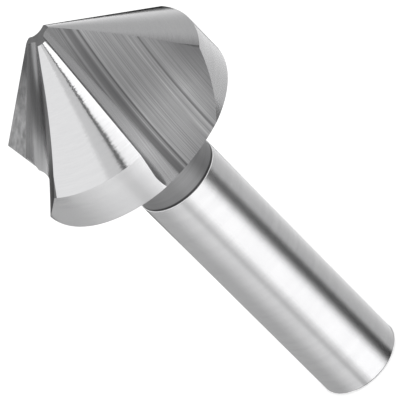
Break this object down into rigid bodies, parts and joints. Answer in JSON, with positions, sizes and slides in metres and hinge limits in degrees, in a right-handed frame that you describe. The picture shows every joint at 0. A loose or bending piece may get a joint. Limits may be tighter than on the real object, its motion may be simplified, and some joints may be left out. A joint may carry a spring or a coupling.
{
  "type": "countersink bit",
  "caption": "Cone-headed cutting bit with fluted, relieved lands and a plain round shank; cuts a right-angled chamfer round a drilled hole.",
  "frame": {"origin": "centre of the shank's end face, which is the face that the bit stands on", "axes": "+Z runs along the bit's axis from the shank end to the tip; one tooth's cutting edge lies near -Y, and the others follow at equal turns about Z"},
  "size_m": [0.0306, 0.0307, 0.071],
  "materials": {
    "ground_steel": "ground and polished tool steel, bare"
  },
  "bodies": {
    "root": {"countersink_body": "ground_steel"}
  },
  "joints": []
}
